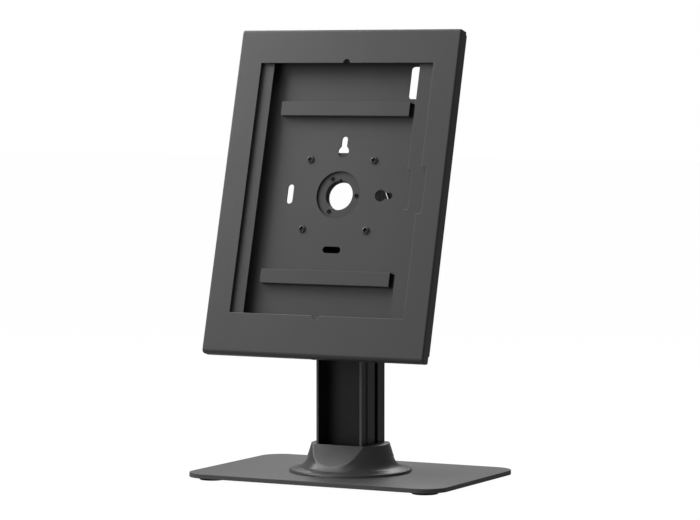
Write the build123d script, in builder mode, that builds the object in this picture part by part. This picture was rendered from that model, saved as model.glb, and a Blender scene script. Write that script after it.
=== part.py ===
from build123d import *
from math import cos, radians, sin, tan
import os

# Tablet security kiosk stand: a locking sheet-steel tablet enclosure on a turning and
# tilting head, carried by an extruded column on a flat base plate.
# All lengths are millimetres. X runs to the right, Y to the back and Z up; the origin
# lies on the table under the middle of the base plate.

os.makedirs("parts", exist_ok=True)

# Room for cuts and fits
overrun = 2.0
clear_gap = 0.3
fit_gap = 0.05

# Base plate and feet
base_width = 300.0
base_depth = 200.0
base_thickness = 4.7
base_corner_radius = 25.0
base_edge_round = 0.5
foot_diameter = 28.0
foot_height = 3.3
foot_round = 0.8
foot_from_side = 25.0
foot_from_front = 24.0

# Extruded column
column_width = 53.6
column_depth = 53.6
column_wall = 2.4
column_height = 254.0
front_channel_depth = 20.6
column_web = 2.5
chamber_depth = 14.6
side_slot_width = 7.2
side_slot_from_rear_web = 0.2
flute_radius = 6.0
flute_depth = 1.2
flute_from_front = 10.8
rear_lip_width = 3.0
rear_lip_thickness = 1.6
inner_port_diameter = 10.0
inner_port_spacing = 23.0
outer_port_diameter = 8.0
port_overlap = 1.0

# Screws that hold the column at both ends
inner_screw_diameter = 6.0
inner_head_diameter = 11.0
outer_screw_diameter = 4.0
outer_head_diameter = 7.5
column_screw_depth = 16.0
cap_head_height_share = 0.6

# Snap-in cable strip at the back of the column
strip_thickness = 1.4
strip_bottom_room = 14.0
strip_top_room = 27.0

# Flared cover round the foot of the column
cover_flange_radius = 64.8
cover_rim_height = 2.75
cover_rim_round = 0.7
cover_height = 30.0
cover_top_radius = 41.5
cover_waist_radius = 48.1
cover_waist_height = 8.45
cover_waist_round = 12.0
cover_inset = 2.0
cover_opening_gap = 0.6
facet_from_column = 1.6
facet_slope = 43.0
facet_bend_height = 12.0
facet_end_height = 3.2
cable_arch_width = 12.0
cable_arch_height = 7.0

# Fixed yoke on top of the column
yoke_width = 81.0
yoke_thickness = 4.0
yoke_bend_radius = 2.0
yoke_ear_radius = 12.0
yoke_ear_foot = 40.0
pivot_above_column = 22.0
pivot_before_column = 4.0

# Tilt pivots
pivot_bolt_diameter = 8.0
pivot_head_diameter = 15.0
pivot_head_height = 4.5
pivot_head_round = 1.2
pivot_socket_width = 5.0
pivot_socket_depth = 2.6
pivot_nut_width = 13.0
pivot_nut_height = 6.5
pivot_washer_diameter = 20.0
pivot_washer_thickness = 1.0

# Where the tablet face sits, seen from the pivot
tilt_angle = 15.0
face_before_pivot = 45.9
face_above_pivot = 9.48

# Front frame
frame_width = 258.9
frame_height = 351.2
frame_depth = 12.5
frame_sheet = 1.5
frame_side_bend = 2.0
frame_top_bend = 3.0
frame_bottom_bend = 4.6
window_width = 203.6
window_height = 270.5
window_raise = 3.85
window_corner_radius = 0.6
window_jog_depth = 6.2
window_jog_height = 49.0
window_jog_raise = 3.6
jog_corner_radius = 1.8
notch_radius = 4.0
notch_side = 0.4
hook_width = 24.0
hook_length = 4.0
hook_spacing = 140.0

# Floating mask plate behind the front frame
mask_depth = 4.6
mask_sheet = 1.2
mask_width = 236.0
mask_height = 300.0
mask_raise = 3.6
mask_corner_radius = 4.0
mask_open_width = 172.0
mask_open_height = 272.5
mask_open_side = -1.9
mask_open_raise = 3.85
mask_jog_depth = 5.4
mask_jog_height = 41.2
mask_jog_raise = 4.7
mask_notch_radius = 3.7
mask_notch_drop = 1.8
stud_diameter = 3.0
stud_head_diameter = 6.0
stud_head_height = 1.0
stud_spacing_across = 224.0
stud_spacing_up = 250.0
stud_seat_gap = 0.1

# Rear housing
housing_front = 5.0
housing_back = 19.5
housing_sheet = 1.6
housing_bend_radius = 2.0
housing_corner_radius = 2.2
relief_height = 7.6
relief_depth = 6.6
hook_slot_width = 27.0
hook_slot_front = 10.7
hook_slot_back = 12.9

# Holes in the back plate
hub_raise = 1.0
hub_window_diameter = 51.0
screw_pattern = 75.0
right_key_distance = 49.6
top_key_distance = 46.6
key_round_diameter = 12.5
key_slot_width = 6.8
key_slot_length = 14.0
top_key_slot_length = 16.3
slot_width = 7.1
slot_length = 20.9
left_slot_distance = 57.1
lower_slot_distance = 59.0
cable_slot_left = 68.4
cable_slot_width = 18.0
cable_slot_height = 34.8
cable_slot_raise = 122.1
cable_slot_radius = 3.6

# Tablet rest bars
bar_length = 151.8
bar_height = 15.2
bar_rise = 8.6
bar_sheet = 1.2
upper_bar_raise = 90.8
lower_bar_drop = 90.2
bar_edge_round = 0.5

# Head plate that turns with the enclosure
head_plate_size = 91.0
head_plate_thickness = 3.5
head_plate_corner = 5.0
face_screw_diameter = 4.0
face_screw_head_diameter = 7.7
face_screw_head_height = 1.6
recess_width = 0.9
recess_length = 4.4
recess_depth = 1.3
stop_slot_radius = 35.0
stop_pin_diameter = 4.0
stop_pin_end_gap = 0.5
stop_angle = 45.0
quarter_turn = 90.0

# Hub the head plate turns on
hub_step = 0.8
hub_flange_diameter = 57.0
hub_flange_thickness = 1.6
hub_spigot_diameter = 49.8
hub_bore_diameter = 31.4
web_bore_diameter = 30.4
hub_notch_width = 2.4
hub_notch_depth = 1.6
hub_screw_circle = 40.2
hub_screw_count = 3
hub_screw_diameter = 3.0
hub_screw_head_diameter = 4.6
hub_screw_head_height = 0.8
hub_screw_depth = 8.6
friction_ring_thickness = 1.0
friction_ring_diameter = 62.0
friction_ring_bore = 50.6

# Tilt bracket behind the head plate
bracket_web = 4.0
bracket_width = 89.0
bracket_cheek = 3.0
bracket_below_hub = 26.4
bracket_above_hub = 40.6
bracket_lobe_radius = 11.0
bracket_lobe_depth = 49.0
bracket_lobe_raise = 13.6
cheek_slot_depth = 45.5
cheek_slot_raise = 7.0
cheek_slot_length = 17.0
cheek_slot_width = 5.6
cheek_slot_angle = 141.0

# Tamper-proof screw in the bottom wall
lock_screw_depth = 7.0
lock_screw_diameter = 4.0
lock_head_diameter = 7.0
lock_head_height = 0.6
lock_pin_diameter = 1.0
lock_socket_width = 2.6
lock_nut_diameter = 8.0
lock_nut_height = 4.5

# Heights and places that follow from the sizes above
plate_top = foot_height + base_thickness
column_top = plate_top + column_height
column_front = -column_depth / 2
channel_floor = column_front + front_channel_depth
chamber_front = channel_floor + column_web
chamber_back = chamber_front + chamber_depth
rear_web_back = chamber_back + column_web
inside_width = column_width - 2 * column_wall
side_slot_y = chamber_back - side_slot_from_rear_web - side_slot_width / 2
inner_port_y = (chamber_front + chamber_back) / 2
outer_port_x = inside_width / 2 - outer_port_diameter / 2 + port_overlap
outer_port_y = rear_web_back + outer_port_diameter / 2 - port_overlap
inner_ports = [(side * inner_port_spacing / 2, inner_port_y) for side in (-1, 1)]
outer_ports = [(side * outer_port_x, outer_port_y) for side in (-1, 1)]
pivot_y = -pivot_before_column
pivot_z = column_top + pivot_above_column
lean = radians(tilt_angle)

# Planes of the tilted enclosure. On the face plane x is across and y is up the tablet;
# on the floor plane x is across and y goes deeper; on the side plane x goes deeper.
into = Vector(0, cos(lean), -sin(lean))
up = Vector(0, sin(lean), cos(lean))
face_centre = Vector(0, pivot_y, pivot_z) - into * face_before_pivot + up * face_above_pivot
face_plane = Plane(origin=face_centre, x_dir=(1, 0, 0), z_dir=-into)
floor_plane = Plane(origin=face_centre, x_dir=(1, 0, 0), z_dir=up)
side_plane = Plane(origin=face_centre, x_dir=into, z_dir=(1, 0, 0))
into_axis = Axis(face_centre, into)
column_plane = Plane.XY.offset(plate_top)
column_top_plane = column_plane.offset(column_height)

# Depths behind the tablet face
stop_slot_half = stop_pin_diameter / 2 + fit_gap
back_plate_front = housing_back - housing_sheet
head_plate_back = housing_back + head_plate_thickness
hub_face = housing_back + hub_step
hub_flange_back = hub_face + hub_flange_thickness
web_front = head_plate_back + friction_ring_thickness
web_back = web_front + bracket_web
housing_width = frame_width - 2 * frame_sheet - 2 * clear_gap
housing_height = frame_height - 2 * frame_sheet - 2 * clear_gap
housing_floor = -housing_height / 2


def deeper(depth):
    """Face plane moved back into the enclosure."""
    return face_plane.offset(-depth)


def column_screws(plane, under_head, head_cone):
    """Screws along the four ports of the column, pointing along the plane's normal."""
    for places, shank, head in (
        (inner_ports, inner_screw_diameter, inner_head_diameter),
        (outer_ports, outer_screw_diameter, outer_head_diameter),
    ):
        for x, y in places:
            with Locations(plane * Location((x, y, 0))):
                Cylinder(
                    shank / 2,
                    under_head + column_screw_depth,
                    align=(Align.CENTER, Align.CENTER, Align.MIN),
                )
                if head_cone:
                    Cone(
                        head / 2,
                        shank / 2,
                        (head - shank) / 2,
                        align=(Align.CENTER, Align.CENTER, Align.MIN),
                    )
                else:
                    Cylinder(
                        head / 2,
                        shank * cap_head_height_share,
                        align=(Align.CENTER, Align.CENTER, Align.MAX),
                    )


# Base plate with countersunk holes under the column
with BuildPart() as base_plate:
    with BuildSketch(Plane.XY.offset(foot_height)):
        RectangleRounded(base_width, base_depth, base_corner_radius)
    extrude(amount=base_thickness)
    fillet(base_plate.faces().sort_by(Axis.Z)[-1].edges(), base_edge_round)
    for places, shank, head in (
        (inner_ports, inner_screw_diameter, inner_head_diameter),
        (outer_ports, outer_screw_diameter, outer_head_diameter),
    ):
        for x, y in places:
            with Locations((x, y, foot_height)):
                Cylinder(
                    shank / 2 + clear_gap,
                    base_thickness + overrun,
                    align=(Align.CENTER, Align.CENTER, Align.MIN),
                    mode=Mode.SUBTRACT,
                )
                Cone(
                    head / 2,
                    shank / 2,
                    (head - shank) / 2,
                    align=(Align.CENTER, Align.CENTER, Align.MIN),
                    mode=Mode.SUBTRACT,
                )
base_plate.part.label = "base_plate"
export_step(base_plate.part, "parts/base_plate.step")

# Four round rubber feet under the plate's corners
with BuildPart() as rubber_feet:
    with BuildSketch(Plane.XY):
        with GridLocations(
            base_width - 2 * foot_from_side, base_depth - 2 * foot_from_front, 2, 2
        ):
            Circle(foot_diameter / 2)
    extrude(amount=foot_height)
    chamfer(rubber_feet.edges().group_by(Axis.Z)[0], foot_round)
rubber_feet.part.label = "rubber_feet"
export_step(rubber_feet.part, "parts/rubber_feet.step")

# Countersunk screws from under the plate into the column
with BuildPart() as base_screws:
    column_screws(
        Plane.XY.offset(foot_height),
        base_thickness,
        True,
    )
base_screws.part.label = "base_screws"
export_step(base_screws.part, "parts/base_screws.step")

# Column: open channel in front, closed chamber with side slots, cable channel behind
with BuildPart() as column:
    with BuildSketch(column_plane):
        Rectangle(column_width, column_depth)
        with Locations((0, channel_floor)):
            Rectangle(
                inside_width,
                front_channel_depth + overrun,
                align=(Align.CENTER, Align.MAX),
                mode=Mode.SUBTRACT,
            )
        with Locations((0, chamber_front)):
            Rectangle(
                inside_width,
                chamber_depth,
                align=(Align.CENTER, Align.MIN),
                mode=Mode.SUBTRACT,
            )
        with Locations((0, rear_web_back)):
            Rectangle(
                inside_width,
                column_depth / 2 - rear_lip_thickness - rear_web_back,
                align=(Align.CENTER, Align.MIN),
                mode=Mode.SUBTRACT,
            )
            Rectangle(
                inside_width - 2 * rear_lip_width,
                column_depth / 2 + overrun - rear_web_back,
                align=(Align.CENTER, Align.MIN),
                mode=Mode.SUBTRACT,
            )
        with Locations((0, side_slot_y)):
            Rectangle(column_width + overrun, side_slot_width, mode=Mode.SUBTRACT)
        for side in (-1, 1):
            with Locations(
                (
                    side * (column_width / 2 + flute_radius - flute_depth),
                    column_front + flute_from_front,
                )
            ):
                Circle(flute_radius, mode=Mode.SUBTRACT)
        with Locations(*inner_ports):
            Rectangle(column_web, chamber_depth)
            Circle(inner_port_diameter / 2)
            Circle(inner_screw_diameter / 2 + fit_gap, mode=Mode.SUBTRACT)
        with Locations(*outer_ports):
            Circle(outer_port_diameter / 2)
            Circle(outer_screw_diameter / 2 + fit_gap, mode=Mode.SUBTRACT)
    extrude(amount=column_height)
column.part.label = "column"
export_step(column.part, "parts/column.step")

# Strip that closes the cable channel, held behind the column's rear lips
with BuildPart() as cable_strip:
    with BuildSketch(column_plane.offset(strip_bottom_room)):
        with Locations((0, column_depth / 2 - rear_lip_thickness)):
            Rectangle(
                inside_width - 2 * clear_gap,
                strip_thickness,
                align=(Align.CENTER, Align.MAX),
            )
    extrude(amount=column_height - strip_bottom_room - strip_top_room)
cable_strip.part.label = "cable_strip"
export_step(cable_strip.part, "parts/cable_strip.step")


def flared_form(inset):
    """Trumpet-shaped solid with a facet in front and behind, moved in and down by inset."""
    rim_radius = cover_flange_radius - inset
    rim_height = cover_rim_height - inset
    top_radius = cover_top_radius - inset
    top_height = cover_height - inset
    facet_top = column_depth / 2 + facet_from_column - inset
    facet_run = tan(radians(facet_slope))
    bend_height = facet_bend_height - inset
    bend_y = facet_top + facet_run * (top_height - bend_height)
    high = cover_height + overrun
    wide = cover_flange_radius + overrun
    with BuildPart() as form:
        with BuildSketch(Plane.XZ):
            with BuildLine():
                FilletPolyline(
                    (top_radius, top_height),
                    (cover_waist_radius - inset, cover_waist_height - inset),
                    (rim_radius - cover_rim_round, rim_height),
                    radius=cover_waist_round,
                )
                Polyline(
                    (rim_radius - cover_rim_round, rim_height),
                    (rim_radius, rim_height - cover_rim_round),
                    (rim_radius, -inset),
                    (0, -inset),
                    (0, top_height),
                    (top_radius, top_height),
                )
            make_face()
        revolve(axis=Axis.Z)
        for side in (-1, 1):
            with BuildSketch(Plane.YZ.offset(-cover_flange_radius)):
                with BuildLine():
                    TangentArc(
                        (side * bend_y, bend_height),
                        (side * cover_flange_radius, facet_end_height - inset),
                        tangent=(side * facet_run, -1),
                    )
                    Polyline(
                        (side * bend_y, bend_height),
                        (side * (facet_top - facet_run * (high - top_height)), high),
                        (side * wide, high),
                        (side * wide, facet_end_height - inset),
                        (side * cover_flange_radius, facet_end_height - inset),
                    )
                make_face()
            extrude(amount=2 * cover_flange_radius, mode=Mode.SUBTRACT)
    return form.part


# Flared cover: a hollow trumpet with two facets, open for the column and a cable
with BuildPart() as flared_cover:
    with Locations((0, 0, plate_top)):
        add(flared_form(0))
        add(flared_form(cover_inset), mode=Mode.SUBTRACT)
    with BuildSketch(column_plane):
        Rectangle(
            column_width + 2 * cover_opening_gap,
            column_depth + 2 * cover_opening_gap,
        )
    extrude(amount=cover_height + overrun, mode=Mode.SUBTRACT)
    with BuildSketch(Plane.XZ):
        with Locations((0, plate_top)):
            Rectangle(
                cable_arch_width,
                cable_arch_height,
                align=(Align.CENTER, Align.MIN),
            )
    extrude(amount=-(cover_flange_radius + overrun), mode=Mode.SUBTRACT)
flared_cover.part.label = "flared_cover"
export_step(flared_cover.part, "parts/flared_cover.step")

# Yoke: folded strap on the column's top with an ear each side for the tilt pivots
with BuildPart() as tilt_yoke:
    with BuildSketch(Plane.XZ.offset(-column_depth / 2)):
        with BuildLine():
            Polyline(
                (-yoke_width / 2, pivot_z + yoke_ear_radius),
                (-yoke_width / 2, column_top),
                (yoke_width / 2, column_top),
                (yoke_width / 2, pivot_z + yoke_ear_radius),
                (yoke_width / 2 - yoke_thickness, pivot_z + yoke_ear_radius),
                (yoke_width / 2 - yoke_thickness, column_top + yoke_thickness),
                (yoke_thickness - yoke_width / 2, column_top + yoke_thickness),
                (yoke_thickness - yoke_width / 2, pivot_z + yoke_ear_radius),
                close=True,
            )
        make_face()
    extrude(amount=column_depth)
    fillet(
        tilt_yoke.edges().filter_by(Axis.Y).group_by(Axis.Z)[0],
        yoke_thickness + yoke_bend_radius,
    )
    fillet(
        tilt_yoke.edges()
        .filter_by(Axis.Y)
        .filter_by_position(
            Axis.Z,
            column_top + yoke_thickness - fit_gap,
            column_top + yoke_thickness + fit_gap,
        ),
        yoke_bend_radius,
    )
    with BuildSketch(Plane.YZ.offset(-yoke_width / 2 - overrun)):
        with Locations((pivot_y, pivot_z)):
            Circle(yoke_ear_radius)
        with Locations((0, column_top)):
            Rectangle(yoke_ear_foot, yoke_thickness, align=(Align.CENTER, Align.MIN))
        make_hull()
        with Locations((0, column_top)):
            Rectangle(column_depth, yoke_thickness, align=(Align.CENTER, Align.MIN))
    extrude(amount=yoke_width + 2 * overrun, mode=Mode.INTERSECT)
    with BuildSketch(Plane.YZ.offset(-yoke_width / 2 - overrun)):
        with Locations((pivot_y, pivot_z)):
            Circle(pivot_bolt_diameter / 2 + fit_gap)
    extrude(amount=yoke_width + 2 * overrun, mode=Mode.SUBTRACT)
    with BuildSketch(column_top_plane):
        with Locations(*inner_ports):
            Circle(inner_screw_diameter / 2 + clear_gap)
        with Locations(*outer_ports):
            Circle(outer_screw_diameter / 2 + clear_gap)
    extrude(amount=yoke_thickness + overrun, mode=Mode.SUBTRACT)
tilt_yoke.part.label = "tilt_yoke"
export_step(tilt_yoke.part, "parts/tilt_yoke.step")

# Socket screws through the yoke into the column
with BuildPart() as yoke_screws:
    column_screws(
        Plane(
            origin=(0, 0, column_top + yoke_thickness),
            x_dir=(-1, 0, 0),
            z_dir=(0, 0, -1),
        ),
        yoke_thickness,
        False,
    )
yoke_screws.part.label = "yoke_screws"
export_step(yoke_screws.part, "parts/yoke_screws.step")


def hub_plane(depth):
    """Face plane moved back into the enclosure and centred on the hub."""
    origin = face_centre + up * hub_raise + into * depth
    return Plane(origin=origin, x_dir=(1, 0, 0), z_dir=-into)


def cheek_plane(side, x):
    """Plane across the tilt axis with its centre on the axis, facing outwards."""
    return Plane(origin=(side * x, pivot_y, pivot_z), x_dir=(0, side, 0), z_dir=(side, 0, 0))


def frame_side_view(inset):
    """Side view of the frame's tray, moved in by inset, with the bends above and below."""
    with BuildSketch(side_plane) as view:
        with Locations((inset, 0)):
            Rectangle(frame_depth, frame_height - 2 * inset, align=(Align.MIN, Align.CENTER))
        fillet(
            view.vertices().group_by(Axis.X)[0].sort_by(Axis.Y)[0],
            frame_bottom_bend - inset,
        )
        fillet(
            view.vertices().group_by(Axis.X)[0].sort_by(Axis.Y)[-1],
            frame_top_bend - inset,
        )
    return view.sketch


# Front frame: folded tray with the tablet window, hooked on above and screwed below
with BuildPart() as front_frame:
    extrude(frame_side_view(0), amount=frame_width / 2, both=True)
    for side_face in front_frame.faces().filter_by(Axis.X):
        fillet(side_face.edges().sort_by(into_axis)[:-1], frame_side_bend)
    extrude(
        frame_side_view(frame_sheet),
        amount=frame_width / 2 - frame_sheet,
        both=True,
        mode=Mode.SUBTRACT,
    )
    with BuildSketch(face_plane):
        with Locations((0, window_jog_raise)):
            RectangleRounded(
                window_width + 2 * window_jog_depth,
                window_jog_height,
                jog_corner_radius,
            )
            Rectangle(
                window_width + 2 * window_jog_depth,
                window_jog_height,
                align=(Align.MAX, Align.CENTER),
                mode=Mode.SUBTRACT,
            )
        with Locations((0, window_raise)):
            RectangleRounded(window_width, window_height, window_corner_radius)
        for end in (-1, 1):
            with Locations((notch_side, window_raise + end * window_height / 2)):
                Circle(notch_radius)
    extrude(amount=-frame_sheet, mode=Mode.SUBTRACT)
    with BuildSketch(floor_plane.offset(frame_height / 2 - frame_sheet)):
        with Locations((0, frame_depth)):
            with GridLocations(hook_spacing, 0, 2, 1):
                Rectangle(hook_width, frame_sheet, align=(Align.CENTER, Align.MAX))
    extrude(amount=-hook_length)
    with BuildSketch(floor_plane.offset(-frame_height / 2)):
        with Locations((0, lock_screw_depth)):
            Circle(lock_screw_diameter / 2 + clear_gap)
    extrude(amount=frame_sheet, mode=Mode.SUBTRACT)
front_frame.part.label = "front_frame"
export_step(front_frame.part, "parts/front_frame.step")

# Mask plate that presses on the tablet's rim from inside the frame
with BuildPart() as mask_plate:
    with BuildSketch(deeper(mask_depth)):
        with Locations((0, mask_raise)):
            RectangleRounded(mask_width, mask_height, mask_corner_radius)
            with GridLocations(stud_spacing_across, stud_spacing_up, 2, 2):
                Circle(stud_diameter / 2 + stud_seat_gap, mode=Mode.SUBTRACT)
        with Locations((mask_open_side, mask_open_raise)):
            Rectangle(mask_open_width, mask_open_height, mode=Mode.SUBTRACT)
        with Locations((mask_open_side + mask_open_width / 2, mask_jog_raise)):
            Rectangle(2 * mask_jog_depth, mask_jog_height, mode=Mode.SUBTRACT)
        with Locations(
            (mask_open_side, mask_open_raise + mask_open_height / 2 - mask_notch_drop)
        ):
            Circle(mask_notch_radius, mode=Mode.SUBTRACT)
    extrude(amount=-mask_sheet)
mask_plate.part.label = "mask_plate"
export_step(mask_plate.part, "parts/mask_plate.step")

# Four headed studs on the frame's back that guide the mask plate
with BuildPart() as mask_studs:
    stud_seat = mask_depth + mask_sheet + stud_seat_gap
    with BuildSketch(deeper(frame_sheet)):
        with Locations((0, mask_raise)):
            with GridLocations(stud_spacing_across, stud_spacing_up, 2, 2):
                Circle(stud_diameter / 2)
    extrude(amount=frame_sheet - stud_seat)
    with BuildSketch(deeper(stud_seat)):
        with Locations((0, mask_raise)):
            with GridLocations(stud_spacing_across, stud_spacing_up, 2, 2):
                Circle(stud_head_diameter / 2)
    extrude(amount=-stud_head_height)
mask_studs.part.label = "mask_studs"
export_step(mask_studs.part, "parts/mask_studs.step")

# Rear housing: folded tray inside the frame, with all the holes for mounts and cables
with BuildPart() as rear_housing:
    with BuildSketch(deeper(housing_front)):
        Rectangle(housing_width, housing_height)
    extrude(amount=housing_front - housing_back)
    fillet(rear_housing.edges().filter_by(into_axis), housing_corner_radius)
    fillet(rear_housing.faces().sort_by(into_axis)[-1].edges(), housing_bend_radius)
    with BuildSketch(face_plane):
        Rectangle(housing_width - 2 * housing_sheet, housing_height - 2 * housing_sheet)
    extrude(amount=-back_plate_front, mode=Mode.SUBTRACT)
    with BuildSketch(floor_plane.offset(housing_floor)):
        with GridLocations(housing_width, 0, 2, 1):
            with Locations((0, housing_back)):
                Rectangle(
                    2 * (housing_sheet + housing_bend_radius),
                    relief_depth,
                    align=(Align.CENTER, Align.MAX),
                )
    extrude(amount=relief_height, mode=Mode.SUBTRACT)
    with BuildSketch(floor_plane.offset(-housing_floor)):
        with GridLocations(hook_spacing, 0, 2, 1):
            with Locations((0, hook_slot_front)):
                Rectangle(
                    hook_slot_width,
                    hook_slot_back - hook_slot_front,
                    align=(Align.CENTER, Align.MIN),
                )
    extrude(amount=-housing_sheet, mode=Mode.SUBTRACT)
    with BuildSketch(floor_plane.offset(housing_floor)):
        with Locations((0, lock_screw_depth)):
            Circle(lock_screw_diameter / 2 + clear_gap)
    extrude(amount=housing_sheet, mode=Mode.SUBTRACT)
    with BuildSketch(hub_plane(back_plate_front)):
        Circle(hub_window_diameter / 2)
        with GridLocations(screw_pattern, screw_pattern, 2, 2):
            Circle(face_screw_diameter / 2 + clear_gap)
        for angle, distance, length in (
            (0, right_key_distance, key_slot_length),
            (quarter_turn, top_key_distance, top_key_slot_length),
        ):
            with PolarLocations(0, 1, start_angle=angle):
                with Locations((distance, 0)):
                    Circle(key_round_diameter / 2)
                    Rectangle(
                        length - key_slot_width / 2,
                        key_slot_width,
                        align=(Align.MIN, Align.CENTER),
                    )
                with Locations((distance + length - key_slot_width / 2, 0)):
                    Circle(key_slot_width / 2)
        with Locations((-left_slot_distance, 0)):
            SlotOverall(slot_length, slot_width, rotation=quarter_turn)
        with Locations((0, -lower_slot_distance)):
            SlotOverall(slot_length, slot_width)
    extrude(amount=-housing_sheet, mode=Mode.SUBTRACT)
    with BuildSketch(deeper(back_plate_front)):
        with Locations((cable_slot_left + cable_slot_width / 2, cable_slot_raise)):
            RectangleRounded(cable_slot_width, cable_slot_height, cable_slot_radius)
    extrude(amount=-housing_sheet, mode=Mode.SUBTRACT)
rear_housing.part.label = "rear_housing"
export_step(rear_housing.part, "parts/rear_housing.step")

# Two channel bars that the tablet rests on
for name, rise in (("upper_bar", upper_bar_raise), ("lower_bar", -lower_bar_drop)):
    with BuildPart() as tablet_bar:
        with BuildSketch(side_plane):
            with Locations((back_plate_front, rise + hub_raise)):
                Rectangle(bar_rise, bar_height, align=(Align.MAX, Align.CENTER))
        extrude(amount=bar_length / 2, both=True)
        fillet(
            tablet_bar.faces().sort_by(into_axis)[0].edges().filter_by(Axis.X),
            bar_edge_round,
        )
        with BuildSketch(side_plane):
            with Locations((back_plate_front, rise + hub_raise)):
                Rectangle(
                    bar_rise - bar_sheet,
                    bar_height - 2 * bar_sheet,
                    align=(Align.MAX, Align.CENTER),
                )
        extrude(amount=bar_length / 2, both=True, mode=Mode.SUBTRACT)
    tablet_bar.part.label = name
    export_step(tablet_bar.part, "parts/" + name + ".step")

# Head plate behind the housing, with the hub's recess and the slot of the turn stop
with BuildPart() as head_plate:
    with BuildSketch(hub_plane(housing_back)):
        RectangleRounded(head_plate_size, head_plate_size, head_plate_corner)
        Circle(hub_spigot_diameter / 2 + fit_gap, mode=Mode.SUBTRACT)
        with GridLocations(screw_pattern, screw_pattern, 2, 2):
            Circle(face_screw_diameter / 2 + fit_gap, mode=Mode.SUBTRACT)
    extrude(amount=-head_plate_thickness)
    with BuildSketch(hub_plane(housing_back)):
        Circle(hub_flange_diameter / 2 + clear_gap)
    extrude(amount=housing_back - hub_flange_back - fit_gap, mode=Mode.SUBTRACT)
    with BuildSketch(hub_plane(housing_back)):
        Circle(stop_slot_radius + stop_slot_half)
        Circle(stop_slot_radius - stop_slot_half, mode=Mode.SUBTRACT)
        with PolarLocations(0, 1, start_angle=stop_angle):
            Rectangle(
                head_plate_size,
                head_plate_size,
                align=(Align.MIN, Align.MIN),
                mode=Mode.INTERSECT,
            )
        with PolarLocations(
            stop_slot_radius, 2, start_angle=stop_angle, angular_range=quarter_turn, endpoint=True
        ):
            Circle(stop_slot_half)
    extrude(amount=-head_plate_thickness, mode=Mode.SUBTRACT)
head_plate.part.label = "head_plate"
export_step(head_plate.part, "parts/head_plate.step")

# Four pan-head screws that hold the housing on the head plate
with BuildPart() as face_screws:
    with BuildSketch(hub_plane(back_plate_front)):
        with GridLocations(screw_pattern, screw_pattern, 2, 2):
            Circle(face_screw_head_diameter / 2)
    extrude(amount=face_screw_head_height)
    chamfer(
        face_screws.edges().group_by(into_axis)[0],
        face_screw_head_height / 2,
    )
    with BuildSketch(hub_plane(back_plate_front)):
        with GridLocations(screw_pattern, screw_pattern, 2, 2):
            Circle(face_screw_diameter / 2)
    extrude(amount=back_plate_front - head_plate_back)
    with BuildSketch(hub_plane(back_plate_front - face_screw_head_height)):
        with GridLocations(screw_pattern, screw_pattern, 2, 2):
            Rectangle(recess_length, recess_width)
            Rectangle(recess_width, recess_length)
    extrude(amount=-recess_depth, mode=Mode.SUBTRACT)
face_screws.part.label = "face_screws"
export_step(face_screws.part, "parts/face_screws.step")

# Hub: flanged bush the head plate turns on, with a bore for the cable
with BuildPart() as hub_bush:
    with BuildSketch(hub_plane(hub_face)):
        Circle(hub_flange_diameter / 2)
    extrude(amount=-hub_flange_thickness)
    with BuildSketch(hub_plane(hub_flange_back)):
        Circle(hub_spigot_diameter / 2)
    extrude(amount=hub_flange_back - web_front)
    with BuildSketch(hub_plane(hub_face)):
        Circle(hub_bore_diameter / 2)
        with Locations((0, hub_bore_diameter / 2)):
            Rectangle(hub_notch_width, 2 * hub_notch_depth)
        with PolarLocations(hub_screw_circle / 2, hub_screw_count):
            Circle(hub_screw_diameter / 2 + fit_gap)
    extrude(amount=hub_face - web_front, mode=Mode.SUBTRACT)
hub_bush.part.label = "hub_bush"
export_step(hub_bush.part, "parts/hub_bush.step")

# Three small screws that hold the hub on the tilt bracket
with BuildPart() as hub_screws:
    with BuildSketch(hub_plane(hub_face)):
        with PolarLocations(hub_screw_circle / 2, hub_screw_count):
            Circle(hub_screw_head_diameter / 2)
    extrude(amount=hub_screw_head_height)
    with BuildSketch(hub_plane(hub_face)):
        with PolarLocations(hub_screw_circle / 2, hub_screw_count):
            Circle(hub_screw_diameter / 2)
    extrude(amount=-hub_screw_depth)
hub_screws.part.label = "hub_screws"
export_step(hub_screws.part, "parts/hub_screws.step")

# Friction ring between the head plate and the tilt bracket
with BuildPart() as friction_ring:
    with BuildSketch(hub_plane(head_plate_back + fit_gap)):
        Circle(friction_ring_diameter / 2)
        Circle(friction_ring_bore / 2, mode=Mode.SUBTRACT)
    extrude(amount=fit_gap - friction_ring_thickness)
friction_ring.part.label = "friction_ring"
export_step(friction_ring.part, "parts/friction_ring.step")

# Pin that stops the turn at upright and at lying
with BuildPart() as stop_pin:
    with BuildSketch(hub_plane(housing_back + stop_pin_end_gap)):
        with PolarLocations(stop_slot_radius, 1, start_angle=stop_angle):
            Circle(stop_pin_diameter / 2)
    extrude(amount=housing_back + stop_pin_end_gap - web_back)
stop_pin.part.label = "stop_pin"
export_step(stop_pin.part, "parts/stop_pin.step")

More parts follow.
